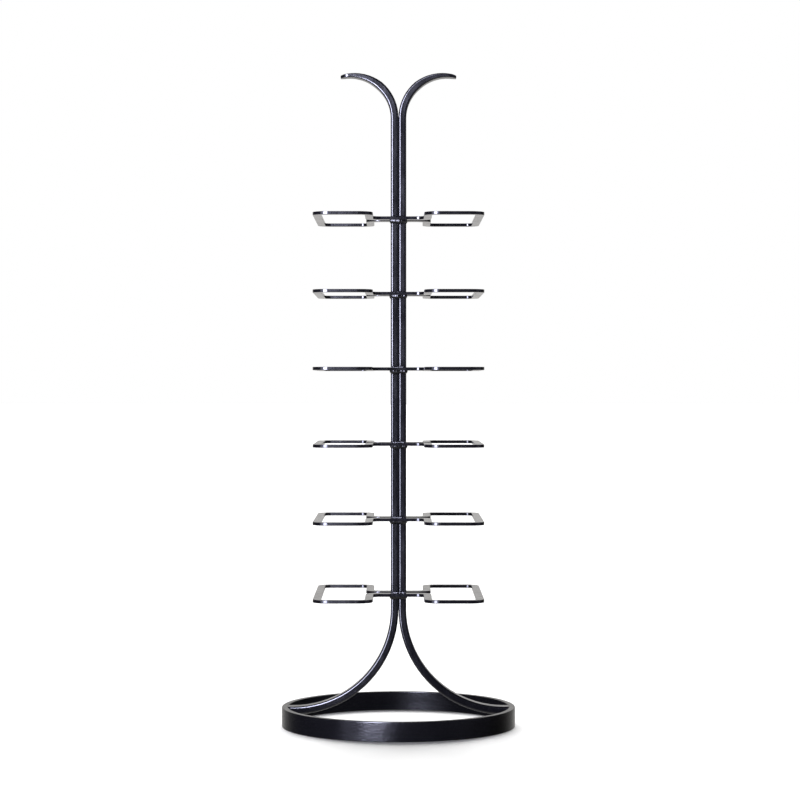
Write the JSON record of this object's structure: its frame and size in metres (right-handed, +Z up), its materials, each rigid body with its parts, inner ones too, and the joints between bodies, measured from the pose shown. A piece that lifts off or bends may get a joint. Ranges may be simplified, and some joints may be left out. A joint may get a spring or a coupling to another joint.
{
  "type": "wine rack",
  "caption": "Free-standing steel wine rack: a flat-bar hoop, a twin-bar stem that splits into curled ends, and tiers of open rectangular cradles on both sides for bottles lying down.",
  "frame": {"origin": "centre of the hoop's underside, on the surface that the rack stands on", "axes": "+Z up along the stem, +X to the right and -Y to the front, which is the side that the bottles' necks or bases face"},
  "size_m": [0.3, 0.3, 0.8388],
  "materials": {
    "hoop_coat": "satin black powder coat, very dark with a faint blue cast, fine grain, on a rolled steel flat bar",
    "bar_coat": "satin black powder coat, very dark with a faint blue cast, over bars with a slightly uneven, hand-worked surface",
    "plate_coat": "satin black powder coat, very dark with a faint blue cast, fine grain, on flat steel plate",
    "weld_coat": "satin black powder coat, very dark with a faint blue cast, over rippled weld beads"
  },
  "bodies": {
    "root": {"hoop": "hoop_coat", "upright_left": "bar_coat", "upright_right": "bar_coat", "base_welds": "weld_coat", "tier_1_plate": "plate_coat", "tier_1_welds": "weld_coat", "tier_2_plate": "plate_coat", "tier_2_welds": "weld_coat", "tier_3_plate": "plate_coat", "tier_3_welds": "weld_coat", "tier_4_plate": "plate_coat", "tier_4_welds": "weld_coat", "tier_5_plate": "plate_coat", "tier_5_welds": "weld_coat", "tier_6_plate": "plate_coat", "tier_6_welds": "weld_coat"}
  },
  "joints": []
}
